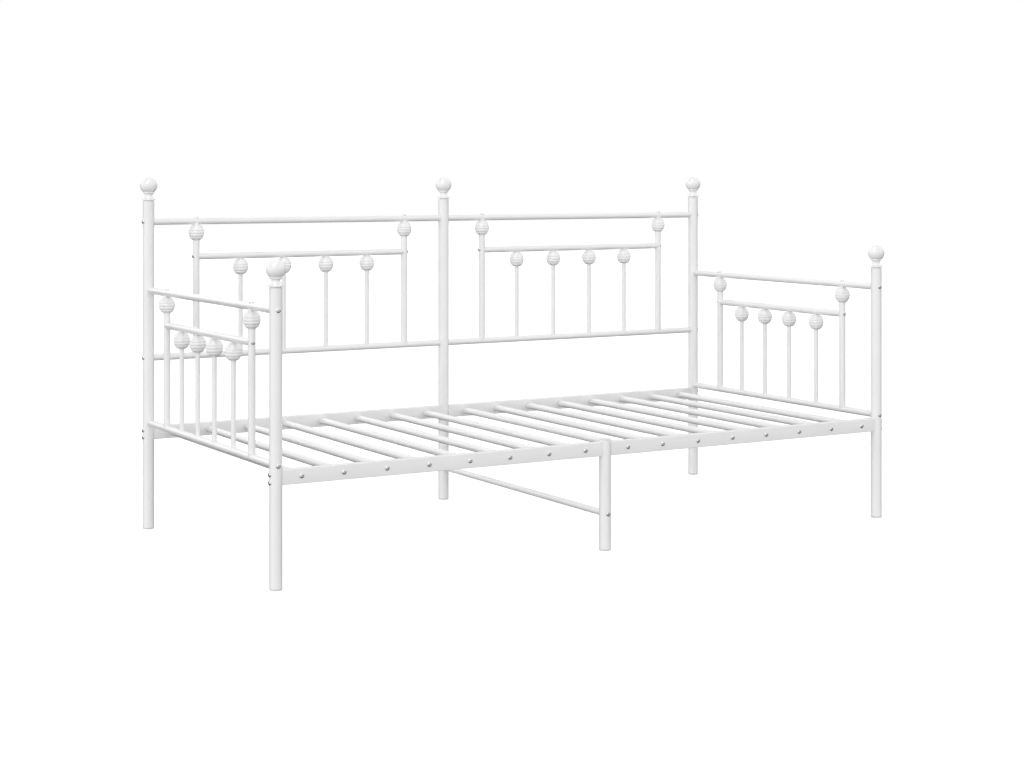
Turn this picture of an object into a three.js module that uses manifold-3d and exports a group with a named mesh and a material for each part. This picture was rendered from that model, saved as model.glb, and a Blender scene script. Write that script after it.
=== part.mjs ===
// A daybed of round steel tube: three tall back posts, two shorter front posts and a middle leg,
// joined by two back panels, two side panels, four side rails, sixteen slats and a low brace.
//
// Millimetres. +X runs along the bed, +Y towards its back, +Z up. The origin is on the floor,
// under the centre of the bed.

import * as THREE from 'three';
import Module from 'manifold-3d';
import { mergeVertices } from 'three/addons/utils/BufferGeometryUtils.js';

const wasm = await Module();
wasm.setup();

// ---- Driving dimensions -------------------------------------------------------------------------

const CLEARANCE = 0.3; // between pieces that touch

const POST_SPACING_X = 1928; // from left posts to right posts, axis to axis
const POST_SPACING_Y = 924; // from front posts to back posts, axis to axis
const BACK_POST_TOP = 943.5;
const FRONT_POST_TOP = 742;
const POST_RADIUS = 16;
const POST_WALL = 1.2;

const TUBE_RADIUS = 9.5; // panel rails, thick spindles and slats
const THIN_RADIUS = 6.35; // thin spindles
const BRACE_RADIUS = 8.5;
const TUBE_WALL = 1;

const RAIL_HEIGHT = 38;
const RAIL_DEPTH = 20;
const RAIL_WALL = 1.2;
const RAIL_AXIS_Z = 275.7; // the slats lie on the same level
const RAIL_BOLT_HEIGHTS = [-12.7, 7.3]; // the two bolts at each rail end, from the rail's axis
const ACCESS_NOTCH = { near: 12, far: 34, bottom: -2, top: 16 }; // from the middle post and rail axis

const SLATS_PER_HALF = 8;
const FIRST_SLAT = 65; // from the outer post's axis
const END_SLAT_PITCH = 115;
const SLAT_PITCH = 120;

const BRACE_Z = 99.6;
const LEG_TOP = 299.5;

// Heights of each panel's rails, and where its spindles stand, measured from the panel's first post.
// The first and last spindles are thick and reach the top rail; the others hang from the cross rail.
const BACK_PANEL = {
  span: POST_SPACING_X / 2,
  topZ: 883.2,
  crossZ: 780.6,
  lowerZ: 491.8,
  spindles: [145, 283, 421, 559, 697, 825.5],
};
const SIDE_PANEL = {
  span: POST_SPACING_Y,
  topZ: 685.8,
  crossZ: 595,
  lowerZ: 305,
  spindles: [153, 276, 409, 531.5, 653, 771],
};

const BALL_RADIUS = 23;
const BALL_HALF_HEIGHT = 26;
const BALL_DROP = 23.7; // from the underside of the rail above to the ball's centre
const BALL_MOUTH_RADIUS = 11; // where the ball is cut flat at its top and bottom
const BALL_SHELL = 1.6; // wall of the balls that are part of a spindle frame

// Heights on the finial are above the post's top.
const FINIAL_RADIUS = 24.6;
const FINIAL_CENTRE = 44;
const FINIAL_COLLAR = { radius: 18.6, bottom: 1, top: 6.8 };
const FINIAL_NECK = [[15.2, 8.6], [10.9, 15.4], [12, 20], [15.9, 22]]; // as [radius, height]
const FINIAL_BALL_START = 15.6; // radius where the ball rises from the bead round the neck's top
const STEM_RADIUS = POST_RADIUS - POST_WALL - CLEARANCE;
const STEM_LENGTH = 24;

const FOOT_THICKNESS = 3;
const FOOT_CHAMFER = { across: 1.4, up: 1.2 };
const FOOT_RADIUS = POST_RADIUS - 0.2;
const FOOT_PLUG_TOP = 20;
const CAP_PLUG_LENGTH = 14;
const CAP_BRIM_TOP = 1.8;
const CAP_DOME = [[13.5, 3.6], [0, 4.4]]; // from the brim to the middle, as [radius, height]

const BOLT_HOLE_RADIUS = 3.3;
const SCREW_HOLE_RADIUS = 2.3;

// How finely the round shapes are faceted.
const POST_SIDES = 16;
const TUBE_SIDES = 12;
const THIN_SIDES = 8;
const BALL_SIDES = 12;
const BALL_STEPS = 4;
const FINIAL_SIDES = 16;
const FINIAL_LOWER_STEPS = 3;
const FINIAL_UPPER_STEPS = 3;
const CAVITY_SIDES = 6;
const CAVITY_STEPS = 3;
const HOLE_SIDES = 6;

const OVERRUN = 4; // how far a cutting tool runs past what it cuts

// ---- Materials ----------------------------------------------------------------------------------

const powderCoat = () => new THREE.MeshStandardMaterial({ color: 0xf1f1f0, roughness: 0.42, metalness: 0 });
const mouldedWhite = () => new THREE.MeshStandardMaterial({ color: 0xf4f4f3, roughness: 0.3, metalness: 0 });
const footPlastic = () => new THREE.MeshStandardMaterial({ color: 0xececea, roughness: 0.55, metalness: 0 });

// ---- Solids -------------------------------------------------------------------------------------

// A three.js geometry as a solid that can be joined and cut.
function solid(geometry) {
  geometry.deleteAttribute('normal');
  geometry.deleteAttribute('uv');
  const merged = mergeVertices(geometry, 1e-4);
  return new wasm.Manifold(new wasm.Mesh({
    numProp: 3,
    vertProperties: new Float32Array(merged.attributes.position.array),
    triVerts: new Uint32Array(merged.index.array),
  }));
}

function geometryOf(manifold) {
  const { vertProperties, triVerts } = manifold.getMesh();
  const geometry = new THREE.BufferGeometry();
  geometry.setAttribute('position', new THREE.BufferAttribute(vertProperties, 3));
  geometry.setIndex(new THREE.BufferAttribute(triVerts, 1));
  geometry.computeVertexNormals();
  return geometry;
}

const joined = (solids) => solids.reduce((whole, piece) => whole.add(piece));
const cut = (body, tools) => tools.reduce((rest, tool) => rest.subtract(tool), body);

// A solid round bar between two points.
function bar(radius, sides, from, to) {
  const start = new THREE.Vector3(...from);
  const along = new THREE.Vector3(...to).sub(start);
  const geometry = new THREE.CylinderGeometry(radius, radius, along.length(), sides);
  const cylinderAxis = new THREE.Vector3(0, 1, 0);
  const direction = along.clone().normalize();
  geometry.applyQuaternion(new THREE.Quaternion().setFromUnitVectors(cylinderAxis, direction));
  geometry.translate(...start.addScaledVector(along, 0.5));
  return solid(geometry);
}

// A bar along X through a wall or post at x, y, z, for cutting a bolt hole; likewise along Y and Z.
function holeAlongX(x, y, z, reach = POST_RADIUS + OVERRUN, radius = BOLT_HOLE_RADIUS) {
  return bar(radius, HOLE_SIDES, [x - reach, y, z], [x + reach, y, z]);
}

function holeAlongY(x, y, z, reach = POST_RADIUS + OVERRUN, radius = BOLT_HOLE_RADIUS) {
  return bar(radius, HOLE_SIDES, [x, y - reach, z], [x, y + reach, z]);
}

function holeAlongZ(x, y, z, reach, radius) {
  return bar(radius, HOLE_SIDES, [x, y, z - reach], [x, y, z + reach]);
}

// A block given by its lowest and highest corners.
function block(low, high) {
  const geometry = new THREE.BoxGeometry(high[0] - low[0], high[1] - low[1], high[2] - low[2]);
  geometry.translate((low[0] + high[0]) / 2, (low[1] + high[1]) / 2, (low[2] + high[2]) / 2);
  return solid(geometry);
}

// A turned shape, its profile given as [radius, height] pairs from the bottom up.
function turned(profile, sides) {
  const points = profile.map(([radius, height]) => new THREE.Vector2(radius, height));
  const geometry = new THREE.LatheGeometry(points, sides);
  geometry.rotateX(Math.PI / 2);
  return geometry;
}

// Room for an upright post or spindle that a rail's end butts against.
function copingTool(radius, sides, x, y, z) {
  return bar(radius + CLEARANCE, sides, [x, y, z - RAIL_HEIGHT], [x, y, z + RAIL_HEIGHT]);
}

// ---- Posts, finials and caps --------------------------------------------------------------------

function postGeometry(top, holes) {
  const inside = POST_RADIUS - POST_WALL;
  const outer = bar(POST_RADIUS, POST_SIDES, [0, 0, FOOT_THICKNESS], [0, 0, top]);
  const bore = bar(inside, POST_SIDES, [0, 0, FOOT_THICKNESS - OVERRUN], [0, 0, top + OVERRUN]);
  return geometryOf(cut(outer, [bore, ...holes]));
}

function arc(radius, halfHeight, centre, fromAngle, toAngle, steps) {
  return Array.from({ length: steps + 1 }, (_, i) => {
    const angle = fromAngle + ((toAngle - fromAngle) * i) / steps;
    return [radius * Math.cos(angle), centre + halfHeight * Math.sin(angle)];
  });
}

// A ball on a waisted neck, with a collar over the post's end and a stem that plugs into it.
function finialGeometry() {
  const ballArc = (from, to, steps) => arc(FINIAL_RADIUS, FINIAL_RADIUS, FINIAL_CENTRE, from, to, steps);
  const ballStart = -Math.acos(FINIAL_BALL_START / FINIAL_RADIUS);
  const collar = FINIAL_COLLAR.radius;
  return turned([
    [0, -STEM_LENGTH],
    [STEM_RADIUS, -STEM_LENGTH],
    [STEM_RADIUS, FINIAL_COLLAR.bottom],
    [collar, FINIAL_COLLAR.bottom],
    [collar, FINIAL_COLLAR.top],
    ...FINIAL_NECK,
    ...ballArc(ballStart, 0, FINIAL_LOWER_STEPS),
    ...ballArc(0, Math.PI / 2, FINIAL_UPPER_STEPS).slice(1, -1),
    [0, FINIAL_CENTRE + FINIAL_RADIUS],
  ], FINIAL_SIDES);
}

// A plastic foot: a plug in the post's end, and a rounded sole that carries the load.
function footGeometry() {
  const ledge = FOOT_THICKNESS - CLEARANCE;
  return turned([
    [0, 0],
    [FOOT_RADIUS - FOOT_CHAMFER.across, 0],
    [FOOT_RADIUS, FOOT_CHAMFER.up],
    [FOOT_RADIUS, ledge],
    [STEM_RADIUS, ledge],
    [STEM_RADIUS, FOOT_PLUG_TOP],
    [0, FOOT_PLUG_TOP],
  ], POST_SIDES);
}

// The cap in the top of the middle leg.
function legCapGeometry() {
  return turned([
    [0, -CAP_PLUG_LENGTH],
    [STEM_RADIUS, -CAP_PLUG_LENGTH],
    [STEM_RADIUS, CLEARANCE],
    [POST_RADIUS, CLEARANCE],
    [POST_RADIUS, CAP_BRIM_TOP],
    ...CAP_DOME,
  ], POST_SIDES);
}

// ---- Panels -------------------------------------------------------------------------------------
//
// A panel is built along X from its first post, at x = 0, to its second, at x = span.

const isThick = (panel, i) => i === 0 || i === panel.spindles.length - 1;
const thickSpindles = (panel) => [panel.spindles[0], panel.spindles[panel.spindles.length - 1]];
const postCopings = (panel, z) => [0, panel.span].map((x) => copingTool(POST_RADIUS, POST_SIDES, x, 0, z));

function ballArc(shell, steps) {
  const radius = BALL_RADIUS - shell;
  const halfHeight = BALL_HALF_HEIGHT - shell;
  const mouth = Math.acos((BALL_MOUTH_RADIUS - shell) / radius);
  return arc(radius, halfHeight, 0, -mouth, mouth, steps);
}

// A ball with no bore, or the coarser and smaller one that hollows it out.
function closedBall(shell, sides, steps, x, z) {
  const outline = ballArc(shell, steps);
  const bottom = [0, outline[0][1]];
  const top = [0, outline[outline.length - 1][1]];
  const geometry = turned([bottom, ...outline, top], sides);
  geometry.translate(x, 0, z);
  return solid(geometry);
}

// A ball that slides over a thick spindle: its profile closes on itself round the bore.
function boredBallGeometry() {
  const bore = TUBE_RADIUS + CLEARANCE;
  const outline = ballArc(0, BALL_STEPS);
  const bottom = [bore, outline[0][1]];
  const top = [bore, outline[outline.length - 1][1]];
  return turned([bottom, ...outline, top, bottom], BALL_SIDES);
}

function topRailGeometry(panel) {
  const z = panel.topZ;
  const outer = bar(TUBE_RADIUS, TUBE_SIDES, [0, 0, z], [panel.span, 0, z]);
  const bore = bar(TUBE_RADIUS - TUBE_WALL, TUBE_SIDES, [-OVERRUN, 0, z], [panel.span + OVERRUN, 0, z]);
  const reach = TUBE_RADIUS + OVERRUN;
  const screws = thickSpindles(panel).map((x) => holeAlongZ(x, 0, z, reach, SCREW_HOLE_RADIUS));
  return geometryOf(cut(outer, [bore, ...postCopings(panel, z), ...screws]));
}

function crossRailGeometry(panel) {
  const z = panel.crossZ;
  const [from, to] = thickSpindles(panel);
  const outer = bar(TUBE_RADIUS, TUBE_SIDES, [from, 0, z], [to, 0, z]);
  const bore = bar(TUBE_RADIUS - TUBE_WALL, TUBE_SIDES, [from - OVERRUN, 0, z], [to + OVERRUN, 0, z]);
  const copings = [from, to].map((x) => copingTool(TUBE_RADIUS, TUBE_SIDES, x, 0, z));
  return geometryOf(cut(outer, [bore, ...copings]));
}

// The lower rail with its spindles welded on. The thin spindles end in their balls; the tubes are
// hollow right through, and drain into the lower rail.
function spindleFrameGeometry(panel) {
  const z = panel.lowerZ;
  const outside = [bar(TUBE_RADIUS, TUBE_SIDES, [0, 0, z], [panel.span, 0, z])];
  const inside = [bar(TUBE_RADIUS - TUBE_WALL, TUBE_SIDES, [-OVERRUN, 0, z], [panel.span + OVERRUN, 0, z])];
  const holes = [];
  panel.spindles.forEach((x, i) => {
    if (isThick(panel, i)) {
      const top = panel.topZ - TUBE_RADIUS - CLEARANCE;
      outside.push(bar(TUBE_RADIUS, TUBE_SIDES, [x, 0, z], [x, 0, top]));
      inside.push(bar(TUBE_RADIUS - TUBE_WALL, TUBE_SIDES, [x, 0, z], [x, 0, top + OVERRUN]));
      holes.push(holeAlongX(x, 0, panel.crossZ, TUBE_RADIUS + OVERRUN, SCREW_HOLE_RADIUS));
    } else {
      const ballZ = panel.crossZ - TUBE_RADIUS - BALL_DROP;
      outside.push(bar(THIN_RADIUS, THIN_SIDES, [x, 0, z], [x, 0, ballZ]));
      outside.push(closedBall(0, BALL_SIDES, BALL_STEPS, x, ballZ));
      inside.push(bar(THIN_RADIUS - TUBE_WALL, CAVITY_SIDES, [x, 0, z], [x, 0, ballZ]));
      inside.push(closedBall(BALL_SHELL, CAVITY_SIDES, CAVITY_STEPS, x, ballZ));
    }
  });
  return geometryOf(cut(joined(outside), [joined(inside), ...postCopings(panel, z), ...holes]));
}

// ---- Side rails, slats and brace ----------------------------------------------------------------

// The first and the last gap of each half are a little narrower than the others.
const slatOffsets = [FIRST_SLAT];
for (let i = 1; i < SLATS_PER_HALF; i++) {
  const atEnd = i === 1 || i === SLATS_PER_HALF - 1;
  slatOffsets.push(slatOffsets[i - 1] + (atEnd ? END_SLAT_PITCH : SLAT_PITCH));
}

// A side rail along X from an outer post, at x = 0, to the middle post or leg. Its inner wall, on
// the +Y side, has a notch at the middle end that gives a spanner room.
function sideRail() {
  const length = POST_SPACING_X / 2;
  const y = RAIL_DEPTH / 2;
  const z = RAIL_HEIGHT / 2;
  const wall = RAIL_WALL;
  const outer = block([0, -y, -z], [length, y, z]);
  const bore = block([-OVERRUN, wall - y, wall - z], [length + OVERRUN, y - wall, z - wall]);
  const copings = [0, length].map((x) => copingTool(POST_RADIUS, POST_SIDES, x, 0, 0));
  const { near, far, bottom, top } = ACCESS_NOTCH;
  const notch = block([length - far, 0, bottom], [length - near, y + OVERRUN, top]);
  const slatHoles = slatOffsets.map((x) => holeAlongY(x, 0, 0, y + OVERRUN));
  return cut(outer, [bore, ...copings, notch, ...slatHoles]);
}

function slatGeometry() {
  const reach = (POST_SPACING_Y - RAIL_DEPTH) / 2 - CLEARANCE;
  const outer = bar(TUBE_RADIUS, TUBE_SIDES, [0, -reach, 0], [0, reach, 0]);
  const bore = bar(TUBE_RADIUS - TUBE_WALL, TUBE_SIDES, [0, -reach - OVERRUN, 0], [0, reach + OVERRUN, 0]);
  return geometryOf(cut(outer, [bore]));
}

function braceGeometry() {
  const reach = POST_SPACING_Y / 2;
  const outer = bar(BRACE_RADIUS, TUBE_SIDES, [0, -reach, 0], [0, reach, 0]);
  const bore = bar(BRACE_RADIUS - TUBE_WALL, TUBE_SIDES, [0, -reach - OVERRUN, 0], [0, reach + OVERRUN, 0]);
  const copings = [-reach, reach].map((y) => copingTool(POST_RADIUS, POST_SIDES, 0, y, 0));
  return geometryOf(cut(outer, [bore, ...copings]));
}

// ---- Assembly -----------------------------------------------------------------------------------

const daybed = new THREE.Group();

function place(parent, name, geometry, material, x = 0, y = 0, z = 0, turn = 0) {
  const mesh = new THREE.Mesh(geometry, material);
  mesh.name = name;
  mesh.position.set(x, y, z);
  mesh.rotation.z = turn;
  parent.add(mesh);
}

const left = -POST_SPACING_X / 2;
const right = POST_SPACING_X / 2;
const front = -POST_SPACING_Y / 2;
const back = POST_SPACING_Y / 2;

const railHoles = RAIL_BOLT_HEIGHTS.map((rise) => holeAlongX(0, 0, RAIL_AXIS_Z + rise));
const backPanelHoles = [BACK_PANEL.topZ, BACK_PANEL.lowerZ].map((z) => holeAlongX(0, 0, z));
const sidePanelHoles = [SIDE_PANEL.topZ, SIDE_PANEL.lowerZ].map((z) => holeAlongY(0, 0, z));
const braceHole = holeAlongY(0, 0, BRACE_Z);

const backCornerPost = postGeometry(BACK_POST_TOP, [...railHoles, ...backPanelHoles, ...sidePanelHoles]);
const backMiddlePost = postGeometry(BACK_POST_TOP, [...railHoles, ...backPanelHoles, braceHole]);
const frontPost = postGeometry(FRONT_POST_TOP, [...railHoles, ...sidePanelHoles]);
const middleLeg = postGeometry(LEG_TOP, [...railHoles, braceHole]);

const posts = [
  { name: 'back_left_post', shape: backCornerPost, x: left, y: back, top: BACK_POST_TOP },
  { name: 'back_middle_post', shape: backMiddlePost, x: 0, y: back, top: BACK_POST_TOP },
  { name: 'back_right_post', shape: backCornerPost, x: right, y: back, top: BACK_POST_TOP },
  { name: 'front_left_post', shape: frontPost, x: left, y: front, top: FRONT_POST_TOP },
  { name: 'front_right_post', shape: frontPost, x: right, y: front, top: FRONT_POST_TOP },
  { name: 'middle_leg', shape: middleLeg, x: 0, y: front, top: LEG_TOP },
];

for (const post of posts) {
  place(daybed, post.name, post.shape, powderCoat(), post.x, post.y);
  place(daybed, `${post.name}_foot`, footGeometry(), footPlastic(), post.x, post.y);
  if (post.name === 'middle_leg') {
    place(daybed, 'middle_leg_cap', legCapGeometry(), footPlastic(), post.x, post.y, post.top);
  } else {
    place(daybed, `${post.name}_finial`, finialGeometry(), mouldedWhite(), post.x, post.y, post.top);
  }
}

const panels = [
  { name: 'back_left', panel: BACK_PANEL, x: left, y: back, turn: 0 },
  { name: 'back_right', panel: BACK_PANEL, x: right, y: back, turn: Math.PI },
  { name: 'side_left', panel: SIDE_PANEL, x: left, y: front, turn: Math.PI / 2 },
  { name: 'side_right', panel: SIDE_PANEL, x: right, y: front, turn: Math.PI / 2 },
];

for (const { name, panel, x, y, turn } of panels) {
  const group = new THREE.Group();
  group.position.set(x, y, 0);
  group.rotation.z = turn;
  daybed.add(group);
  place(group, `${name}_top_rail`, topRailGeometry(panel), powderCoat());
  place(group, `${name}_cross_rail`, crossRailGeometry(panel), powderCoat());
  place(group, `${name}_spindle_frame`, spindleFrameGeometry(panel), powderCoat());
  const ballZ = panel.topZ - TUBE_RADIUS - BALL_DROP;
  thickSpindles(panel).forEach((offset, i) => {
    place(group, `${name}_ball_${i + 1}`, boredBallGeometry(), mouldedWhite(), offset, 0, ballZ);
  });
}

// The notch faces the slats and is next to the middle post or leg, so the four rails are mirror
// images of one another.
const rails = [
  { name: 'front_left_rail', x: left, y: front, mirror: [1, 1] },
  { name: 'front_right_rail', x: right, y: front, mirror: [-1, 1] },
  { name: 'back_left_rail', x: left, y: back, mirror: [1, -1] },
  { name: 'back_right_rail', x: right, y: back, mirror: [-1, -1] },
];

const railShape = sideRail();
for (const { name, x, y, mirror } of rails) {
  place(daybed, name, geometryOf(railShape.scale([...mirror, 1])), powderCoat(), x, y, RAIL_AXIS_Z);
}

const slatPlaces = [...slatOffsets.map((x) => left + x), ...slatOffsets.map((x) => right - x).reverse()];
slatPlaces.forEach((x, i) => {
  const number = String(i + 1).padStart(2, '0');
  place(daybed, `slat_${number}`, slatGeometry(), powderCoat(), x, 0, RAIL_AXIS_Z);
});

place(daybed, 'brace_tube', braceGeometry(), powderCoat(), 0, 0, BRACE_Z);

export default daybed;
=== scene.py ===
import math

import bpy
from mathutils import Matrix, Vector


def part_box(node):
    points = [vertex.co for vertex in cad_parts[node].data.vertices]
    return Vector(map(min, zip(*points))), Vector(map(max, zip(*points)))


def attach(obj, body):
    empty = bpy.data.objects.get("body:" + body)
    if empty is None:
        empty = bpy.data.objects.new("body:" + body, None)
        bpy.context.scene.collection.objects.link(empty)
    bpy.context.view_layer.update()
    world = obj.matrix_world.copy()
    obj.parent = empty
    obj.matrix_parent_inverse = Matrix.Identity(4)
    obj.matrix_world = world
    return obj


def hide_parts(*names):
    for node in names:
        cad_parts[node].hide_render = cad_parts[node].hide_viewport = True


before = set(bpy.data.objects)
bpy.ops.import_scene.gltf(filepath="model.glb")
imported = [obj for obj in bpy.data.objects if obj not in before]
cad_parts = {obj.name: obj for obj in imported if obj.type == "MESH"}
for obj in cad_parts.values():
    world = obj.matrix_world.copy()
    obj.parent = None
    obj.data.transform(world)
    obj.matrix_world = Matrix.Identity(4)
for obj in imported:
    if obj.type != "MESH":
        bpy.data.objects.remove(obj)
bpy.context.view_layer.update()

# The look of a daybed of white round steel tube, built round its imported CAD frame.
#
# Metres. +X runs along the bed, +Y towards its back, +Z up, and the floor is at z = 0. Places come
# from the CAD nodes' boxes, and the few sizes that the boxes don't give are named below. Each faceted
# CAD node is replaced by a smooth piece of the same size, and the bolts, screws, nuts and weld beads
# that the CAD model leaves out are added.

MM = 0.001
UP = Vector((0, 0, 1))

# ---- Sizes that the CAD nodes' boxes don't give -------------------------------------------------

GAP = 0.3 * MM  # between pieces that touch
POST_WALL = 1.2 * MM
TUBE_WALL = 1.0 * MM
RAIL_WALL = 1.2 * MM
RAIL_CORNER = 1.5 * MM  # outside radius of the side rails' corners

# The thin spindles' places, from the axis of their panel's first post.
THIN_SPINDLES = {
    "back": [283 * MM, 421 * MM, 559 * MM, 697 * MM],
    "side": [276 * MM, 409 * MM, 531.5 * MM, 653 * MM],
}
THIN_RADIUS = 6.35 * MM
BALL_DROP = 23.7 * MM  # from the underside of the rail above to the ball's centre

# The notch in the inner wall of each side rail, from the middle post's axis and the rail's axis.
NOTCH_NEAR, NOTCH_FAR = 8 * MM, 34 * MM
NOTCH_BOTTOM, NOTCH_TOP = -2 * MM, 16 * MM
NOTCH_CORNER = 2.5 * MM

# Heights of the two bolts at each rail end, from the rail's axis.
RAIL_BOLTS = [-12.7 * MM, 7.3 * MM]

POST_SIDES = 64
TUBE_SIDES = 48
THIN_SIDES = 36
SHARP_ANGLE = math.radians(32)  # edges that turn by more than this stay sharp


# ---- Meshes -------------------------------------------------------------------------------------


def band(a, count_a, b, count_b):
    """Faces between two rings of vertices; a ring of one vertex is a pole."""
    count = max(count_a, count_b)
    faces = []
    for i in range(count):
        j = (i + 1) % count
        if count_a == 1:
            faces.append((a, b + j, b + i))
        elif count_b == 1:
            faces.append((a + i, a + j, b))
        else:
            faces.append((a + i, a + j, b + j, b + i))
    return faces


def finished(mesh):
    """Smooth shading, broken at real edges."""
    mesh.validate()
    mesh.shade_smooth()
    mesh.set_sharp_from_angle(angle=SHARP_ANGLE)
    return mesh


def loft(name, rings, closed=False):
    """A mesh through rings of points, from its lowest to its highest. A closed one joins the last
    ring to the first; otherwise both ends are poles or are filled."""
    points = [p for ring in rings for p in ring]
    starts = [sum(len(r) for r in rings[:i]) for i in range(len(rings))]
    following = list(range(1, len(rings))) + ([0] if closed else [])
    faces = []
    for i, j in enumerate(following):
        faces += band(starts[i], len(rings[i]), starts[j], len(rings[j]))
    if not closed and len(rings[0]) > 1:
        faces.append(tuple(reversed(range(len(rings[0])))))
    if not closed and len(rings[-1]) > 1:
        faces.append(tuple(starts[-1] + i for i in range(len(rings[-1]))))
    mesh = bpy.data.meshes.new(name)
    mesh.from_pydata(points, [], faces)
    return finished(mesh)


def angles(count):
    """Equal steps round a full turn, in radians."""
    return [2 * math.pi * i / count for i in range(count)]


def circle(radius, sides):
    """Points round a circle."""
    return [(radius * math.cos(a), radius * math.sin(a)) for a in angles(sides)]


def arc(centre_r, centre_z, radius, start, end, steps):
    """[radius, height] points along an arc of a profile; angles in degrees, 0 pointing outwards."""
    points = []
    for i in range(steps + 1):
        a = math.radians(start + (end - start) * i / steps)
        points.append((centre_r + radius * math.cos(a), centre_z + radius * math.sin(a)))
    return points


def turned(name, profile, sides, closed=False):
    """A turned piece from its profile, [radius, height] pairs in millimetres from the bottom up."""
    rings = []
    for radius, height in profile:
        if radius == 0:
            rings.append([(0, 0, height * MM)])
        else:
            rings.append([(x, y, height * MM) for x, y in circle(radius * MM, sides)])
    return loft(name, rings, closed)


def rounded_rectangle(width, height, corner, steps=6):
    """Points round a rectangle whose corners are arcs of that many steps."""
    points = []
    for quarter, (sx, sy) in enumerate([(1, 1), (-1, 1), (-1, -1), (1, -1)]):
        cx = sx * (width / 2 - corner)
        cy = sy * (height / 2 - corner)
        for i in range(steps + 1):
            a = (quarter + i / steps) * math.pi / 2
            points.append((cx + corner * math.cos(a), cy + corner * math.sin(a)))
    return points


def tube(name, outer, inner, length, start=0.0, end=0.0):
    """A tube along Z, its ends flat, or coped to a cylinder along Y of radius start or end, whose
    axis crosses the tube's at z = 0 or z = length."""

    def ring(section, z, seat, way):
        return [(x, y, z + way * math.sqrt(max(seat**2 - x**2, 0))) for x, y in section]

    return loft(
        name,
        [
            ring(outer, 0, start, 1),
            ring(outer, length, end, -1),
            ring(inner, length, end, -1),
            ring(inner, 0, start, 1),
        ],
        closed=True,
    )


def round_tube(name, radius, wall, length, start=0.0, end=0.0, sides=TUBE_SIDES):
    return tube(name, circle(radius, sides), circle(radius - wall, sides), length, start, end)


def cut(mesh, cutter):
    """The mesh with the cutter's volume taken out of it."""
    body = bpy.data.objects.new("body", mesh)
    tool = bpy.data.objects.new("tool", cutter)
    for o in (body, tool):
        bpy.context.scene.collection.objects.link(o)
    boolean = body.modifiers.new("cut", "BOOLEAN")
    boolean.operation = "DIFFERENCE"
    boolean.solver = "EXACT"
    boolean.object = tool
    bpy.context.view_layer.update()
    graph = bpy.context.evaluated_depsgraph_get()
    result = bpy.data.meshes.new_from_object(body.evaluated_get(graph), depsgraph=graph)
    result.name = mesh.name
    for o in (body, tool):
        bpy.data.objects.remove(o)
    return finished(result)


def merged(name, parts):
    """One mesh of several closed bodies, from (mesh, matrix) pairs."""
    points, faces = [], []
    for mesh, matrix in parts:
        offset = len(points)
        points += [matrix @ v.co for v in mesh.vertices]
        faces += [tuple(offset + i for i in p.vertices) for p in mesh.polygons]
    mesh = bpy.data.meshes.new(name)
    mesh.from_pydata(points, [], faces)
    return finished(mesh)


# ---- Places -------------------------------------------------------------------------------------


def axes(origin, axis, seat_axis):
    """A matrix that puts a mesh's Z along axis and its Y along seat_axis, at origin."""
    z = Vector(axis).normalized()
    y = Vector(seat_axis).normalized()
    matrix = Matrix((y.cross(z), y, z)).transposed().to_4x4()
    matrix.translation = origin
    return matrix


def middle(node):
    low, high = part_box(node)
    return (low + high) / 2


def size(node):
    low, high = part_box(node)
    return high - low


def post_axis(node, z=0.0):
    """A point on a post's axis."""
    centre = middle(node)
    return Vector((centre.x, centre.y, z))


POST_RADIUS = size("middle_leg").x / 2
TUBE_RADIUS = size("slat_01").x / 2

# Radii of the copings, where a tube's end meets a post or another tube.
POST_SEAT = POST_RADIUS + GAP
TUBE_SEAT = TUBE_RADIUS + GAP


def lower_rail_z(panel):
    """The height of the lower rail's axis, which is at the bottom of its panel's spindle frame."""
    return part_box(f"{panel}_spindle_frame")[0].z + TUBE_RADIUS


def show(name, mesh, material, slot, matrix, replaced=()):
    """Puts a piece in the scene, riding on the bed and standing for the CAD nodes it replaces."""
    mesh.materials.clear()
    mesh.materials.append(material)
    piece = bpy.data.objects.new(name, mesh)
    bpy.context.scene.collection.objects.link(piece)
    piece.matrix_world = matrix
    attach(piece, "root")
    if replaced:
        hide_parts(*replaced)


# ---- Materials ----------------------------------------------------------------------------------


class Tree:
    """A node tree, with short ways to add and link its nodes."""

    def __init__(self, tree):
        self.tree = tree

    def add(self, kind, **settings):
        node = self.tree.nodes.new(kind)
        for key, value in settings.items():
            setattr(node, key, value)
        return node

    def link(self, output, socket):
        self.tree.links.new(output, socket)

    def ranged(self, value, from_low, from_high, to_low, to_high):
        """A value carried over from one range to another, and held at its ends."""
        node = self.add("ShaderNodeMapRange")
        node.inputs["From Min"].default_value = from_low
        node.inputs["From Max"].default_value = from_high
        node.inputs["To Min"].default_value = to_low
        node.inputs["To Max"].default_value = to_high
        self.link(value, node.inputs["Value"])
        return node.outputs["Result"]


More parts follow.
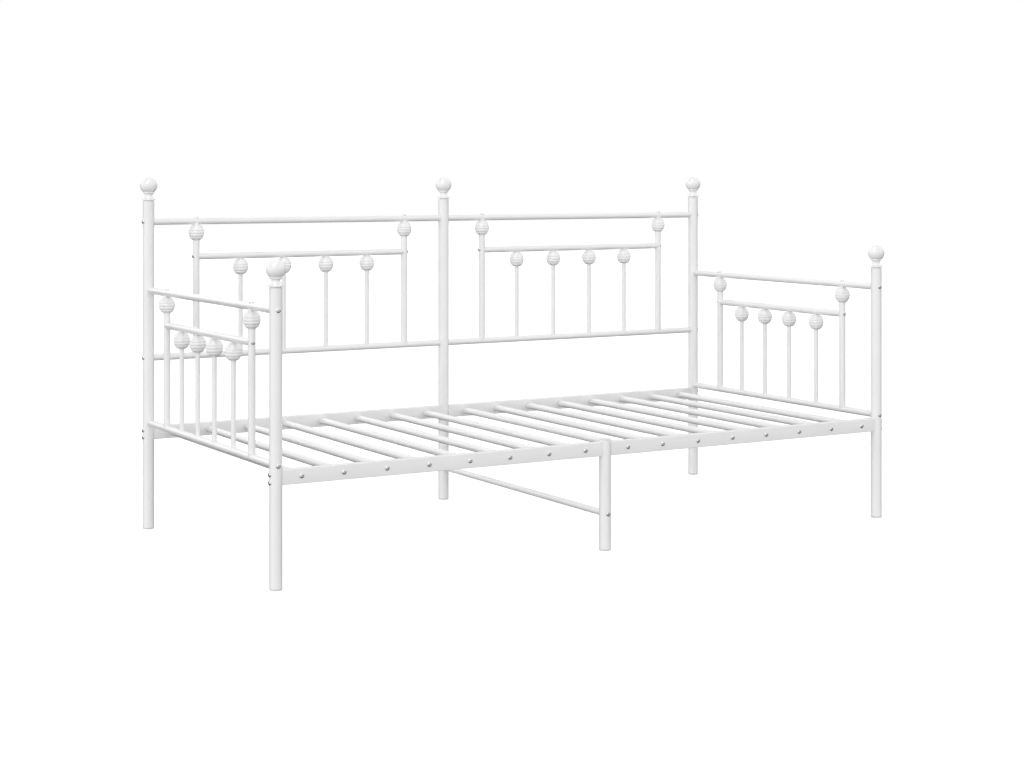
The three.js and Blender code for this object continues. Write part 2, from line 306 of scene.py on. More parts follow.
class Nodes(Tree):
    """A material's node tree, with its Principled shader."""

    NOISE_LOW, NOISE_HIGH = 0.3, 0.7  # the usual least and most of a noise pattern

    def __init__(self, name):
        self.material = bpy.data.materials.new(name)
        self.material.use_nodes = True
        super().__init__(self.material.node_tree)
        self.shader = self.tree.nodes["Principled BSDF"]
        self.coordinates = self.add("ShaderNodeTexCoord").outputs["Object"]

    def noise(self, scale, detail, stretch=(1, 1, 1)):
        """A noise pattern whose features are about 1 / scale metres across."""
        mapping = self.add("ShaderNodeMapping")
        mapping.inputs["Scale"].default_value = stretch
        self.link(self.coordinates, mapping.inputs["Vector"])
        noise = self.add("ShaderNodeTexNoise")
        noise.inputs["Scale"].default_value = scale
        noise.inputs["Detail"].default_value = detail
        self.link(mapping.outputs["Vector"], noise.inputs["Vector"])
        return noise.outputs["Fac"]

    def colour(self, pattern, low, high):
        """Base colour that goes from low to high with a noise pattern."""
        ramp = self.add("ShaderNodeValToRGB")
        ramp.color_ramp.elements[0].position = self.NOISE_LOW
        ramp.color_ramp.elements[1].position = self.NOISE_HIGH
        ramp.color_ramp.elements[0].color = (*low, 1)
        ramp.color_ramp.elements[1].color = (*high, 1)
        self.link(pattern, ramp.inputs["Fac"])
        self.link(ramp.outputs["Color"], self.shader.inputs["Base Color"])

    def roughness(self, pattern, low, high):
        """Roughness that goes from low to high with a noise pattern."""
        value = self.ranged(pattern, self.NOISE_LOW, self.NOISE_HIGH, low, high)
        self.link(value, self.shader.inputs["Roughness"])

    def bumps(self, *layers):
        """Bumps from (pattern, depth in metres) pairs, coarse ones first."""
        normal = None
        for pattern, depth in layers:
            bump = self.add("ShaderNodeBump")
            bump.inputs["Strength"].default_value = 1.0
            bump.inputs["Distance"].default_value = depth
            self.link(pattern, bump.inputs["Height"])
            if normal is not None:
                self.link(normal, bump.inputs["Normal"])
            normal = bump.outputs["Normal"]
        self.link(normal, self.shader.inputs["Normal"])


def powder_coat():
    """Satin white powder coat: an even skin with orange peel a millimetre or two across."""
    nodes = Nodes("powder_coat")
    tone = nodes.noise(scale=7, detail=2)
    sheen = nodes.noise(scale=55, detail=4)
    orange_peel = nodes.noise(scale=420, detail=2)
    grain = nodes.noise(scale=1500, detail=2)
    nodes.colour(tone, (0.80, 0.80, 0.795), (0.84, 0.84, 0.838))
    nodes.roughness(sheen, 0.36, 0.46)
    nodes.bumps((orange_peel, 0.05 * MM), (grain, 0.012 * MM))
    nodes.shader.inputs["Coat Weight"].default_value = 0.8
    nodes.shader.inputs["Coat Roughness"].default_value = 0.18
    return nodes.material


def moulded_white():
    """Glossier white moulding, with a faint unevenness from the mould."""
    nodes = Nodes("moulded_white")
    tone = nodes.noise(scale=30, detail=2)
    sheen = nodes.noise(scale=90, detail=3)
    waviness = nodes.noise(scale=160, detail=1)
    grain = nodes.noise(scale=2200, detail=2)
    nodes.colour(tone, (0.83, 0.83, 0.827), (0.86, 0.86, 0.858))
    nodes.roughness(sheen, 0.2, 0.3)
    nodes.bumps((waviness, 0.06 * MM), (grain, 0.006 * MM))
    return nodes.material


def foot_plastic():
    """Matt plastic with a fine spark-eroded grain."""
    nodes = Nodes("foot_plastic")
    tone = nodes.noise(scale=60, detail=3)
    sheen = nodes.noise(scale=200, detail=3)
    grain = nodes.noise(scale=1800, detail=4)
    nodes.colour(tone, (0.70, 0.70, 0.69), (0.78, 0.78, 0.77))
    nodes.roughness(sheen, 0.5, 0.66)
    nodes.bumps((grain, 0.03 * MM))
    return nodes.material


def zinc():
    """Zinc plate: grey metal with turning marks and cloudy patches."""
    nodes = Nodes("zinc_plate")
    clouds = nodes.noise(scale=350, detail=4)
    sheen = nodes.noise(scale=500, detail=3)
    turning_marks = nodes.noise(scale=900, detail=2, stretch=(1, 1, 6))
    nodes.colour(clouds, (0.54, 0.54, 0.545), (0.66, 0.66, 0.665))
    nodes.roughness(sheen, 0.16, 0.28)
    nodes.bumps((turning_marks, 0.02 * MM))
    nodes.shader.inputs["Metallic"].default_value = 1.0
    return nodes.material


# Each material with its slot in the record.
STEEL = (powder_coat(), "powder_coated_steel")
BALL = (moulded_white(), "moulded_ball")
FOOT = (foot_plastic(), "foot_plastic")
ZINC = (zinc(), "zinc_fastener")


# ---- Uprights -----------------------------------------------------------------------------------

FINIAL_SLOT = 1.1 * MM  # how far the tube stops short under its finial, which shows as a dark line

# The stems of the turned pieces, in millimetres as their profiles are.
STEM_RADIUS = (POST_RADIUS - POST_WALL - GAP) / MM
STEM_CHAMFER = 0.8

# The uprights. All but the middle leg carry a finial.
POSTS = [
    "back_left_post",
    "back_middle_post",
    "back_right_post",
    "front_left_post",
    "front_right_post",
    "middle_leg",
]


def post_mesh(name, height):
    """A post's tube, its ends slightly rounded over."""
    edge = 0.4 * MM
    outside = POST_RADIUS
    inside = POST_RADIUS - POST_WALL
    levels = [
        (outside - edge, 0),
        (outside, edge),
        (outside, height - edge),
        (outside - edge, height),
        (inside, height),
        (inside, 0),
    ]
    profile = [(radius / MM, z / MM) for radius, z in levels]
    return turned(name, profile, POST_SIDES, closed=True)


def finial_mesh():
    """A ball on a bead, and a neck that flares out to a rounded collar over a groove; heights are
    above the CAD post's top."""
    stem_end = -24
    stem = [
        (0, stem_end),
        (STEM_RADIUS - STEM_CHAMFER, stem_end),
        (STEM_RADIUS, stem_end + STEM_CHAMFER),
    ]
    groove_radius, groove_bottom, groove_top = 12.5, -1.6, 0.8
    groove = [
        (STEM_RADIUS, groove_bottom),
        (groove_radius, groove_bottom),
        (groove_radius, groove_top),
    ]
    collar_edge = arc(centre_r=17.75, centre_z=1.7, radius=0.9, start=-90, end=0, steps=6)
    collar_top = arc(centre_r=15.9, centre_z=4.1, radius=2.75, start=0, end=70, steps=10)

    flare_radius, flare_bottom = 16.3, 7.0
    waist_radius, waist_height = 10.9, 15.4
    flare_steps, flare_bend = 12, 1.2
    flare = []
    for i in range(flare_steps + 1):
        t = i / flare_steps
        flare.append((
            waist_radius + (flare_radius - waist_radius) * (1 - t) ** flare_bend,
            flare_bottom + (waist_height - flare_bottom) * t,
        ))
    neck = [(10.95, 16.5), (11.2, 17.8), (11.6, 19.0)]  # from the waist up to the bead

    bead = arc(centre_r=13.0, centre_z=23.2, radius=3.1, start=-110, end=33, steps=16)
    bead_edge = 15.57  # radius where the ball rises from the bead
    ball_radius, ball_height = 24.6, 44.0
    ball_start = -math.degrees(math.acos(bead_edge / ball_radius))
    ball = arc(0, ball_height, ball_radius, ball_start, 90, steps=40)[:-1]
    tip = (0, ball_height + ball_radius)
    profile = [*stem, *groove, *collar_edge, *collar_top, *flare, *neck, *bead, *ball, tip]
    return turned("finial", profile, POST_SIDES)


def foot_mesh():
    """A plug in the post's end, with a flange whose sole is rounded over at its edge."""
    flange_radius = POST_RADIUS / MM - 0.2
    flange_top = 2.7
    rounding = 1.3
    flat_sole_radius = flange_radius - 1.6
    plug_top = 20
    profile = [
        (0, 0),
        (flat_sole_radius, 0),
        *arc(flange_radius - rounding, rounding, rounding, start=-80, end=0, steps=6),
        (flange_radius, flange_top),
        (STEM_RADIUS, flange_top),
        (STEM_RADIUS, plug_top - STEM_CHAMFER),
        (STEM_RADIUS - STEM_CHAMFER, plug_top),
        (0, plug_top),
    ]
    return turned("foot", profile, POST_SIDES)


def cap_mesh():
    """The low domed cap in the middle leg; heights are above the leg's top."""
    plug_end = -14
    brim_radius = POST_RADIUS / MM
    brim_bottom, brim_top, bevel = 0.3, 1.4, 0.3
    dome_height, dome_steps = 4.4, 10
    dome = []
    for i in range(dome_steps):
        a = math.pi / 2 * i / dome_steps
        dome.append((
            brim_radius * math.cos(a),
            brim_top + (dome_height - brim_top) * math.sin(a),
        ))
    profile = [
        (0, plug_end),
        (STEM_RADIUS, plug_end),
        (STEM_RADIUS, brim_bottom),
        (brim_radius - bevel, brim_bottom),
        (brim_radius, brim_bottom + bevel),
        *dome,
        (0, dome_height),
    ]
    return turned("cap", profile, POST_SIDES)


def build_uprights():
    finial, foot = finial_mesh(), foot_mesh()
    for post in POSTS:
        low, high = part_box(post)
        base = Matrix.Translation(post_axis(post, low.z))
        slot = 0 if post == "middle_leg" else FINIAL_SLOT
        show(f"{post}_tube", post_mesh(post, high.z - low.z - slot), *STEEL, base, [post])
        floor_level = Matrix.Translation(post_axis(post, 0))
        show(f"{post}_foot_insert", foot, *FOOT, floor_level, [f"{post}_foot"])
        crown = Matrix.Translation(post_axis(post, high.z))
        if post == "middle_leg":
            show("middle_leg_domed_cap", cap_mesh(), *FOOT, crown, ["middle_leg_cap"])
        else:
            show(f"{post}_ball_finial", finial, *BALL, crown, [f"{post}_finial"])


# ---- Fasteners ----------------------------------------------------------------------------------


def hexagon(across_flats, sides):
    """Points round a hexagon at the same angles as a circle's."""
    points = []
    for a in angles(sides):
        from_flat = (a + math.pi / 6) % (math.pi / 3) - math.pi / 6  # from a flat's middle
        radius = across_flats / 2 / math.cos(from_flat)
        points.append((radius * math.cos(a), radius * math.sin(a)))
    return points


def level(section, z):
    """A section's points at height z."""
    return [(x, y, z) for x, y in section]


def bolt_mesh(name, radius, height, socket, seat_radius, sides=48):
    """A button-head bolt with a hexagon socket, its underside shaped to the tube that it sits on,
    which lies along Y, or flat if seat_radius is None; Z points out of the surface, and z = 0
    touches it."""
    shank = radius * 0.5
    shank_length = 8 * MM
    rim = height * 0.3  # height of the head's edge
    flat = radius * 0.5  # radius of the flat round the socket
    socket_depth = height * 0.7
    bevel = 0.25 * MM

    def on_seat(section):
        if seat_radius is None:
            return level(section, 0)
        return [(x, y, math.sqrt(seat_radius**2 - x**2) - seat_radius) for x, y in section]

    # The head's dome is an arc from its rim to the flat round the socket.
    dome_steps = 8
    dome = []
    for i in range(dome_steps + 1):
        a = math.pi / 2 * i / dome_steps
        dome.append(level(
            circle(flat + (radius - flat) * math.cos(a), sides),
            rim + (height - rim) * math.sin(a),
        ))
    return loft(
        name,
        [
            [(0, 0, -shank_length)],
            level(circle(shank, sides), -shank_length),
            on_seat(circle(shank, sides)),
            on_seat(circle(radius - bevel, sides)),
            [(x, y, z + bevel) for x, y, z in on_seat(circle(radius, sides))],
            *dome,
            level(hexagon(socket + bevel, sides), height),
            level(hexagon(socket, sides), height - bevel),
            level(hexagon(socket, sides), height - socket_depth),
            [(0, 0, height - socket_depth - bevel)],
        ],
    )


def nut_mesh():
    """A hexagon nut on the end of its bolt, along Z."""
    sides = 48
    height, across_flats = 5 * MM, 10 * MM
    bore_radius = 3.2 * MM
    chamfer = 0.5 * MM
    nut = loft(
        "nut",
        [
            level(circle(bore_radius, sides), 0),
            level(circle(across_flats / 2, sides), 0),
            level(hexagon(across_flats, sides), chamfer),
            level(hexagon(across_flats, sides), height - chamfer),
            level(circle(across_flats / 2, sides), height),
            level(circle(bore_radius, sides), height),
        ],
        closed=True,
    )
    shank_profile = [(0, -2), (2.9, -2), (2.9, 7.4), (2.4, 8), (0, 8)]
    shank = turned("shank", shank_profile, sides)
    return merged("nut", [(nut, Matrix.Identity(4)), (shank, Matrix.Identity(4))])


POST_BOLT = bolt_mesh(
    "post_bolt", radius=6 * MM, height=2.8 * MM, socket=4 * MM, seat_radius=POST_RADIUS
)
RAIL_BOLT = bolt_mesh(
    "rail_bolt", radius=6 * MM, height=2.8 * MM, socket=4 * MM, seat_radius=None
)
SMALL_BOLT = bolt_mesh(
    "small_bolt", radius=5.4 * MM, height=2.4 * MM, socket=3 * MM, seat_radius=TUBE_RADIUS
)
SCREW = bolt_mesh(
    "screw", radius=5.8 * MM, height=2.4 * MM, socket=3 * MM, seat_radius=TUBE_RADIUS
)
NUT = nut_mesh()


# ---- Panels -------------------------------------------------------------------------------------

# Each panel, the posts it hangs between, and which set of spindles it has.
PANELS = [
    ("back_left", "back_left_post", "back_middle_post", "back"),
    ("back_right", "back_right_post", "back_middle_post", "back"),
    ("side_left", "front_left_post", "back_left_post", "side"),
    ("side_right", "front_right_post", "back_right_post", "side"),
]

# The ribbed balls, in millimetres as their profile is.
BALL_RADIUS = 23.0
BALL_HALF_HEIGHT = 26.0
BALL_MOUTH = 11.0  # radius where the ball is cut flat
BALL_STEPS = 96
RIB_PITCH = 8.7
RIB_DEPTH = 1.5
RIB_ROUNDNESS = 2.4  # 2 gives parabolas, and more gives flatter ribs with narrower grooves


def ball_mesh(bore):
    """A ribbed ball that slides over a spindle: an upright ellipsoid with rounded beads round it."""
    top = BALL_HALF_HEIGHT * math.sin(math.acos(BALL_MOUTH / BALL_RADIUS))
    outline = []
    for i in range(BALL_STEPS + 1):
        z = -top + 2 * top * i / BALL_STEPS
        radius = BALL_RADIUS * math.sqrt(1 - (z / BALL_HALF_HEIGHT) ** 2)
        across_rib = abs(z / RIB_PITCH - round(z / RIB_PITCH)) * 2
        outline.append((radius - RIB_DEPTH * across_rib**RIB_ROUNDNESS, z))
    profile = [(bore / MM, -top), *outline, (bore / MM, top)]
    return turned("ribbed_ball", profile, POST_SIDES, closed=True)


def weld_bead(spindle_radius, rail_radius):
    """A bead round the foot of a spindle, where it stands on a rail along Y, with faint ripples."""
    steps, section_sides = 72, 10
    bead_radius = 1.25 * MM
    ripple_count, ripple_depth = 22, 0.12
    rings = []
    for a in angles(steps):
        out = Vector((math.cos(a), math.sin(a), 0))
        # The bead follows the spindle's foot over the rail's round top.
        centre = out * spindle_radius
        centre.z = math.sqrt((rail_radius + GAP) ** 2 - min(abs(centre.x), rail_radius) ** 2)
        radius = bead_radius * (1 + ripple_depth * math.sin(ripple_count * a))
        rings.append([
            tuple(centre + radius * (out * math.cos(b) - UP * math.sin(b)))
            for b in angles(section_sides)
        ])
    return loft("weld", rings, closed=True)


THICK_BALL = ball_mesh(TUBE_RADIUS + GAP)
THIN_BALL = ball_mesh(THIN_RADIUS + GAP)
THICK_WELD = weld_bead(TUBE_RADIUS, TUBE_RADIUS)
THIN_WELD = weld_bead(THIN_RADIUS, TUBE_RADIUS)


class Panel:
    """A panel's places: its rails run from its first post to its second."""

    def __init__(self, name, first, second, kind):
        self.name = name
        self.start = post_axis(first)
        end = post_axis(second)
        self.along = (end - self.start).normalized()
        self.span = (end - self.start).length
        self.top_z = middle(f"{name}_top_rail").z
        self.cross_z = middle(f"{name}_cross_rail").z
        self.lower_z = lower_rail_z(name)
        self.frame_node = f"{name}_spindle_frame"
        self.ball_nodes = [f"{name}_ball_1", f"{name}_ball_2"]
        self.thick = [(post_axis(ball) - self.start).length for ball in self.ball_nodes]
        self.thin = THIN_SPINDLES[kind]

    def place(self, distance, z):
        """The point at height z, at a distance along the rails from the first post's axis."""
        return self.start + self.along * distance + UP * z

    def rail_axes(self, distance, z):
        """Where a tube that lies along the rails starts."""
        return axes(self.place(distance, z), self.along, UP)

    def spindle_axes(self, distance):
        """Where a spindle stands on the lower rail's axis."""
        return axes(self.place(distance, self.lower_z), UP, self.along)

    def ball_axes(self, distance, rail_z):
        """Where a ball hangs under the rail at rail_z."""
        return Matrix.Translation(self.place(distance, rail_z - TUBE_RADIUS - BALL_DROP))


def build_panel_rails(panel):
    name = panel.name
    rail = round_tube(f"{name}_rail", TUBE_RADIUS, TUBE_WALL, panel.span, POST_SEAT, POST_SEAT)
    top_axes = panel.rail_axes(0, panel.top_z)
    show(f"{name}_top_tube", rail, *STEEL, top_axes, [f"{name}_top_rail"])
    lower_axes = panel.rail_axes(0, panel.lower_z)
    show(f"{name}_lower_tube", rail, *STEEL, lower_axes, [panel.frame_node])

    first, last = panel.thick
    cross = round_tube(
        f"{name}_cross", TUBE_RADIUS, TUBE_WALL, last - first, TUBE_SEAT, TUBE_SEAT
    )
    cross_axes = panel.rail_axes(first, panel.cross_z)
    show(f"{name}_cross_tube", cross, *STEEL, cross_axes, [f"{name}_cross_rail"])


def build_thick_spindles(panel):
    """The spindles that reach the top rail, with a ball threaded on each."""
    name = panel.name
    length = panel.top_z - panel.lower_z
    mesh = round_tube(f"{name}_thick", TUBE_RADIUS, TUBE_WALL, length, TUBE_SEAT, TUBE_SEAT)
    for i, distance in enumerate(panel.thick):
        spindle_axes = panel.spindle_axes(distance)
        show(f"{name}_thick_spindle_{i + 1}", mesh, *STEEL, spindle_axes, [panel.frame_node])
        ball_axes = panel.ball_axes(distance, panel.top_z)
        show(f"{name}_top_ball_{i + 1}", THICK_BALL, *BALL, ball_axes, [panel.ball_nodes[i]])


def build_thin_spindles(panel):
    """The spindles that reach the cross rail, with a ball at the top of each."""
    name = panel.name
    length = panel.cross_z - panel.lower_z
    mesh = round_tube(
        f"{name}_thin", THIN_RADIUS, TUBE_WALL, length, TUBE_SEAT, TUBE_SEAT, sides=THIN_SIDES
    )
    for i, distance in enumerate(panel.thin):
        spindle_axes = panel.spindle_axes(distance)
        show(f"{name}_thin_spindle_{i + 1}", mesh, *STEEL, spindle_axes, [panel.frame_node])
        ball_axes = panel.ball_axes(distance, panel.cross_z)
        show(f"{name}_cross_ball_{i + 1}", THIN_BALL, *BALL, ball_axes, [panel.frame_node])


def build_welds(panel):
    """The beads round the feet of the spindles, as one piece."""
    welds = [(THICK_WELD, panel.spindle_axes(distance)) for distance in panel.thick]
    welds += [(THIN_WELD, panel.spindle_axes(distance)) for distance in panel.thin]
    mesh = merged(f"{panel.name}_welds", welds)
    show(f"{panel.name}_weld_beads", mesh, *STEEL, Matrix.Identity(4), [panel.frame_node])


def build_panel_fasteners(panel):
    """The bolts at the cross rail's ends and the screws down through the top rail, as one piece."""
    fasteners = []
    for distance, outwards in zip(panel.thick, (-panel.along, panel.along)):
        bolt_at = panel.place(distance, panel.cross_z) + outwards * TUBE_RADIUS
        fasteners.append((SMALL_BOLT, axes(bolt_at, outwards, UP)))
        screw_at = panel.place(distance, panel.top_z + TUBE_RADIUS)
        fasteners.append((SCREW, axes(screw_at, UP, panel.along)))
    mesh = merged(f"{panel.name}_fasteners", fasteners)
    show(f"{panel.name}_bolts_and_screws", mesh, *ZINC, Matrix.Identity(4))


def build_panel(name, first, second, kind):
    panel = Panel(name, first, second, kind)
    build_panel_rails(panel)
    build_thick_spindles(panel)
    build_thin_spindles(panel)
    build_welds(panel)
    build_panel_fasteners(panel)


# ---- Bolts through the posts --------------------------------------------------------------------


def post_bolts():
    """Each post's bolt heads, as (height, direction that the head faces)."""
    rail_z = middle("front_left_rail").z
    rail_levels = [rail_z + rise for rise in RAIL_BOLTS]
    back_levels = [middle("back_left_top_rail").z, lower_rail_z("back_left")]
    side_levels = [middle("side_left_top_rail").z, lower_rail_z("side_left")]
    brace_z = middle("brace_tube").z
    left, right = Vector((-1, 0, 0)), Vector((1, 0, 0))
    front, back = Vector((0, -1, 0)), Vector((0, 1, 0))

    def heads(levels, facing):
        return [(z, facing) for z in levels]

    return {
        "back_left_post": heads(rail_levels + back_levels, left) + heads(side_levels, back),
        "back_right_post": heads(rail_levels + back_levels, right) + heads(side_levels, back),
        "front_left_post": heads(rail_levels, left) + heads(side_levels, front),
        "front_right_post": heads(rail_levels, right) + heads(side_levels, front),
        "back_middle_post": heads([brace_z], back),
        "middle_leg": heads([brace_z], front),
    }


def build_post_bolts():
    for post, bolts in post_bolts().items():
        parts = [
            (POST_BOLT, axes(post_axis(post, z) + facing * POST_RADIUS, facing, UP))
            for z, facing in bolts
        ]
        show(f"{post}_bolts", merged(f"{post}_bolts", parts), *ZINC, Matrix.Identity(4))


# ---- Side rails, slats and brace ----------------------------------------------------------------

# Each side rail, its outer and middle uprights, and the way its outside faces.
RAILS = [
    ("front_left_rail", "front_left_post", "middle_leg", Vector((0, -1, 0))),
    ("front_right_rail", "front_right_post", "middle_leg", Vector((0, -1, 0))),
    ("back_left_rail", "back_left_post", "back_middle_post", Vector((0, 1, 0))),
    ("back_right_rail", "back_right_post", "back_middle_post", Vector((0, 1, 0))),
]

SLATS = [f"slat_{i:02d}" for i in range(1, 17)]


def notch_tool(length, inwards, half_depth):
    """A block with rounded edges that cuts the notch out of a rail's inner wall. It reaches from
    inside the rail to well outside it; inwards is the sign of X towards the middle of the bed."""
    block_length = NOTCH_FAR - NOTCH_NEAR
    height = NOTCH_TOP - NOTCH_BOTTOM
    section = rounded_rectangle(block_length, height, NOTCH_CORNER)
    z = length - (NOTCH_NEAR + NOTCH_FAR) / 2
    y = (NOTCH_BOTTOM + NOTCH_TOP) / 2
    rings = []
    for reach in (half_depth * 0.5, half_depth * 1.5):
        rings.append([(inwards * reach, y + v, z + inwards * u) for u, v in section])
    return loft("notch", rings)


def build_rail_tube(name, start, end, outside):
    """The rail's tube, coped to its uprights, with the notch in its inner wall."""
    along = (end - start).normalized()
    length = (end - start).length
    depth, height = size(name).y, size(name).z
    outer = rounded_rectangle(depth, height, RAIL_CORNER)
    inner_depth, inner_height = depth - 2 * RAIL_WALL, height - 2 * RAIL_WALL
    inner = rounded_rectangle(inner_depth, inner_height, RAIL_CORNER - RAIL_WALL)
    mesh = tube(name, outer, inner, length, POST_SEAT, POST_SEAT)
    matrix = axes(start + UP * middle(name).z, along, UP)
    # The mesh's X axis points in or out of the bed, depending on which way the rail runs.
    x_is_outside = (matrix.to_3x3() @ Vector((1, 0, 0))).dot(outside) > 0
    inwards = -1 if x_is_outside else 1
    mesh = cut(mesh, notch_tool(length, inwards, depth / 2))
    show(f"{name}_tube", mesh, *STEEL, matrix, [name])


def build_slat_bolts(name, start, end, outside):
    """The bolts through the rail into the ends of the slats along it."""
    bolts = []
    for slat in SLATS:
        centre = middle(slat)
        if (centre.x - start.x) * (centre.x - end.x) < 0:
            at = Vector((centre.x, start.y, centre.z)) + outside * size(name).y / 2
            bolts.append((RAIL_BOLT, axes(at, outside, UP)))
    show(f"{name}_slat_bolts", merged(f"{name}_bolts", bolts), *ZINC, Matrix.Identity(4))


def build_rail_nuts(name, start, end):
    """The nuts that the notch gives room for, on the bolts through the middle upright."""
    along = (end - start).normalized()
    nuts = []
    for rise in RAIL_BOLTS:
        at = end - along * POST_SEAT + UP * (middle(name).z + rise)
        nuts.append((NUT, axes(at, -along, UP)))
    show(f"{name}_nuts", merged(f"{name}_nuts", nuts), *ZINC, Matrix.Identity(4))


def build_rail(name, outer_post, inner_post, outside):
    start, end = post_axis(outer_post), post_axis(inner_post)
    build_rail_tube(name, start, end, outside)
    build_slat_bolts(name, start, end, outside)
    build_rail_nuts(name, start, end)


def build_slats():
    mesh = round_tube("slat", TUBE_RADIUS, TUBE_WALL, size("slat_01").y)
    for slat in SLATS:
        centre = middle(slat)
        start = Vector((centre.x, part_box(slat)[0].y, centre.z))
        show(f"{slat}_tube", mesh, *STEEL, axes(start, (0, 1, 0), UP), [slat])


def build_brace():
    start, end = post_axis("middle_leg"), post_axis("back_middle_post")
    radius = size("brace_tube").x / 2
    mesh = round_tube("brace", radius, TUBE_WALL, (end - start).length, POST_SEAT, POST_SEAT)
    matrix = axes(start + UP * middle("brace_tube").z, end - start, UP)
    show("brace_smooth_tube", mesh, *STEEL, matrix, ["brace_tube"])


# ---- Stage --------------------------------------------------------------------------------------


def build_floor():
    """A white floor that glows a little, so that it fades into the white behind the bed. The bed's
    surfaces don't see it: the studio and the floor's bounce light stand in for its light."""
    reach = 30.0  # from the middle of the floor to its sides
    corners = [(-reach, -reach, 0), (reach, -reach, 0), (reach, reach, 0), (-reach, reach, 0)]
    mesh = bpy.data.meshes.new("floor")
    mesh.from_pydata(corners, [], [(0, 1, 2, 3)])
    nodes = Nodes("floor_paint")
    nodes.colour(nodes.noise(scale=2, detail=3), (0.73, 0.73, 0.73), (0.75, 0.75, 0.75))
    nodes.roughness(nodes.noise(scale=4, detail=3), 0.75, 0.85)
    nodes.shader.inputs["Emission Color"].default_value = (1, 1, 1, 1)
    nodes.shader.inputs["Emission Strength"].default_value = 0.45
    mesh.materials.append(nodes.material)
    floor = bpy.data.objects.new("floor", mesh)
    bpy.context.scene.collection.objects.link(floor)
    floor.visible_diffuse = False
    floor.visible_glossy = False


STUDIO_BRIGHTNESS = 1.62  # where the band's tone is 1
SIDE_LIGHT = (-0.10, -0.02, 0.0)  # how much the light grows towards the left and the front

# The light band lies round a tilted axis. Its tones go with the angle, in degrees, above or below
# the level that the axis is square to.
BAND_AXIS = Vector((-0.26, -0.10, 0.96)).normalized()
BAND_TONES = [
    (-55, 0.01),
    (-32, 0.08),
    (-18, 0.25),
    (-6, 0.52),
    (6, 0.82),
    (18, 1.00),
    (32, 0.96),
    (50, 0.54),
    (90, 0.22),
]

# Reflections see a dark cloth behind the bed, up to the horizon, which draws the outlines. The
# further a direction points along CLOTH_DIRECTION, from START to FULL, the darker it is.
CLOTH_DIRECTION = (0.51, 0.86, 0.0)
CLOTH_START, CLOTH_FULL = -0.25, 0.35
CLOTH_BRIGHTNESS = 0.05  # where it is darkest
CLOTH_SOFT_EDGE = 0.1  # how far above the horizon it fades out


class Studio(Tree):
    """The world's node tree, whose tones depend on direction."""

    def __init__(self, tree):
        super().__init__(tree)
        self.direction = self.add("ShaderNodeTexCoord").outputs["Generated"]

    def along(self, axis):
        """How far each direction points along an axis, from -1 to 1 if the axis has length 1."""
        node = self.add("ShaderNodeVectorMath", operation="DOT_PRODUCT")
        node.inputs[1].default_value = axis
        self.link(self.direction, node.inputs[0])
        return node.outputs["Value"]

    def height(self):
        """How far each direction points up."""
        node = self.add("ShaderNodeSeparateXYZ")
        self.link(self.direction, node.inputs[0])
        return node.outputs["Z"]


def band_colour(studio):
    """The light band's tone in each direction, as a grey."""
    ramp = studio.add("ShaderNodeValToRGB")
    stops = [((math.sin(math.radians(angle)) + 1) / 2, tone) for angle, tone in BAND_TONES]
    elements = ramp.color_ramp.elements
    elements[0].position = stops[0][0]
    elements[1].position = stops[-1][0]
    for position, _ in stops[1:-1]:
        elements.new(position)
    for element, (_, tone) in zip(elements, stops):
        element.color = (tone, tone, tone, 1)
    studio.link(studio.ranged(studio.along(BAND_AXIS), -1, 1, 0, 1), ramp.inputs["Fac"])
    return ramp.outputs["Color"]


def studio_colour(studio):
    """The band's colour, made a little brighter towards one side."""
    side = studio.add("ShaderNodeMath", operation="ADD")
    side.inputs[1].default_value = 1.0
    studio.link(studio.along(SIDE_LIGHT), side.inputs[0])
    colour = studio.add("ShaderNodeVectorMath", operation="SCALE")
    studio.link(band_colour(studio), colour.inputs[0])
    studio.link(side.outputs["Value"], colour.inputs["Scale"])
    return colour.outputs["Vector"]


def studio_strength(studio, path):
    """The studio's brightness, which is less for reflections where they see the cloth."""
    full = STUDIO_BRIGHTNESS
    behind = studio.along(CLOTH_DIRECTION)
    cloth = studio.ranged(behind, CLOTH_START, CLOTH_FULL, full, CLOTH_BRIGHTNESS)
    above_cloth = studio.ranged(studio.height(), 0, CLOTH_SOFT_EDGE, 0, full)
    reflected = studio.add("ShaderNodeMath", operation="MAXIMUM")
    studio.link(cloth, reflected.inputs[0])
    studio.link(above_cloth, reflected.inputs[1])
    strength = studio.add("ShaderNodeMix")
    strength.inputs["A"].default_value = full
    studio.link(path.outputs["Is Glossy Ray"], strength.inputs["Factor"])
    studio.link(reflected.outputs["Value"], strength.inputs["B"])
    return strength.outputs["Result"]


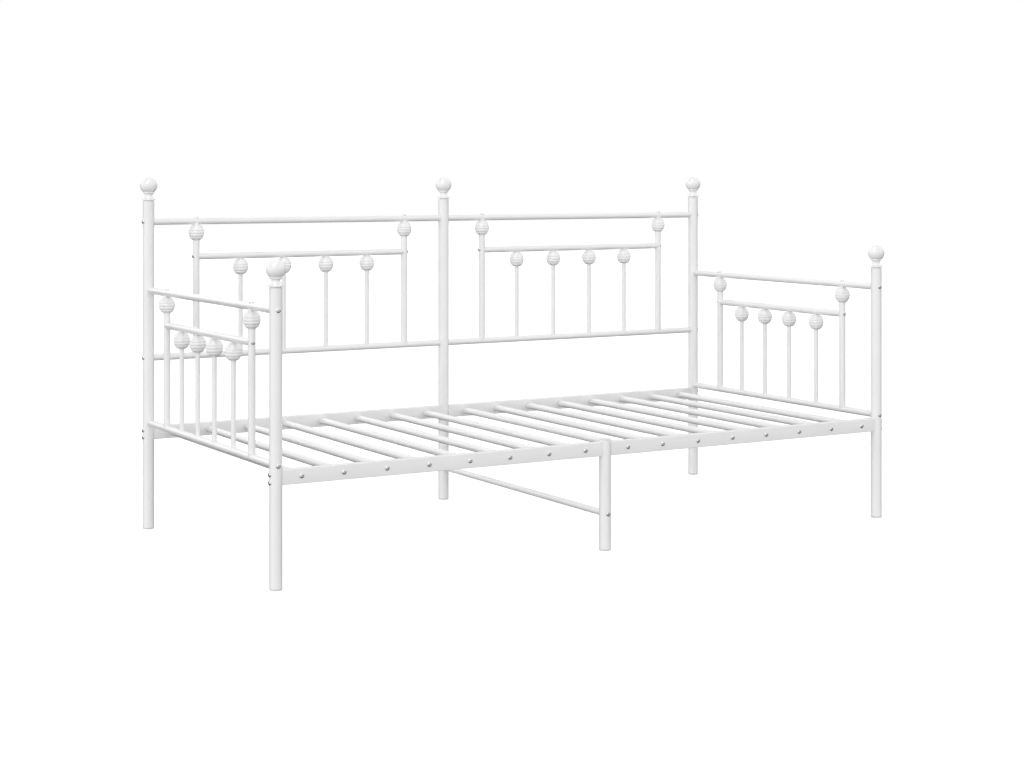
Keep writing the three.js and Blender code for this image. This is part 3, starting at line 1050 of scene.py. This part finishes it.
def build_world():
    """A studio whose light comes mostly from a broad band a little above eye height, lower and
    brighter on the left, with a dim floor; the camera sees white."""
    world = bpy.data.worlds.new("studio")
    bpy.context.scene.world = world
    world.use_nodes = True
    world.node_tree.nodes.clear()
    studio = Studio(world.node_tree)
    path = studio.add("ShaderNodeLightPath")
    light = studio.add("ShaderNodeBackground")
    studio.link(studio_colour(studio), light.inputs["Color"])
    studio.link(studio_strength(studio, path), light.inputs["Strength"])
    white = studio.add("ShaderNodeBackground")
    white.inputs["Color"].default_value = (1, 1, 1, 1)
    mix = studio.add("ShaderNodeMixShader")
    studio.link(path.outputs["Is Camera Ray"], mix.inputs["Fac"])
    studio.link(light.outputs["Background"], mix.inputs[1])
    studio.link(white.outputs["Background"], mix.inputs[2])
    studio.link(mix.outputs["Shader"], studio.add("ShaderNodeOutputWorld").inputs["Surface"])


def area_light(name, width, depth, energy, location, aim):
    """A rectangular light that points at aim and that the camera doesn't see."""
    data = bpy.data.lights.new(name, "AREA")
    data.shape = "RECTANGLE"
    data.size = width
    data.size_y = depth
    data.energy = energy
    light = bpy.data.objects.new(name, data)
    bpy.context.scene.collection.objects.link(light)
    light.location = location
    light.rotation_euler = (Vector(aim) - light.location).to_track_quat("-Z", "Y").to_euler()
    light.visible_camera = False
    return light


def build_lights():
    """A long strip light overhead, which only adds highlights to the glossy surfaces, and the light
    that the floor under the bed throws back, which reaches the low parts most."""
    strip = area_light(
        "strip", width=1.2, depth=6.0, energy=170, location=(-1.9, -1.2, 4.3), aim=(0, 0, 0.5)
    )
    strip.visible_diffuse = False
    bounce = area_light(
        "floor_bounce", width=2.6, depth=1.6, energy=1.0, location=(0, 0, 0.004), aim=(0, 0, 1)
    )
    bounce.visible_glossy = False


CAMERA_PLACE = (-2.7731, -4.6900, 1.0157)
CAMERA_HEADING = -30.40  # degrees from +Y, anticlockwise seen from above
CAMERA_LENS = 65.42  # millimetres, on a sensor 36 mm wide
CAMERA_SHIFT = -0.2035  # the view is shifted down and not tilted, so uprights stay upright


def build_camera():
    """A level camera, a metre up, that looks 30 degrees off the bed's short axis."""
    data = bpy.data.cameras.new("camera")
    data.sensor_width = 36
    data.lens = CAMERA_LENS
    data.shift_y = CAMERA_SHIFT
    data.clip_end = 200
    camera = bpy.data.objects.new("camera", data)
    bpy.context.scene.collection.objects.link(camera)
    camera.location = CAMERA_PLACE
    camera.rotation_euler = (math.radians(90), 0, math.radians(CAMERA_HEADING))
    bpy.context.scene.camera = camera


bpy.context.scene.view_settings.view_transform = "Standard"
build_camera()
build_world()
build_lights()
build_floor()

build_uprights()
for panel in PANELS:
    build_panel(*panel)
for rail in RAILS:
    build_rail(*rail)
build_slats()
build_brace()
build_post_bolts()
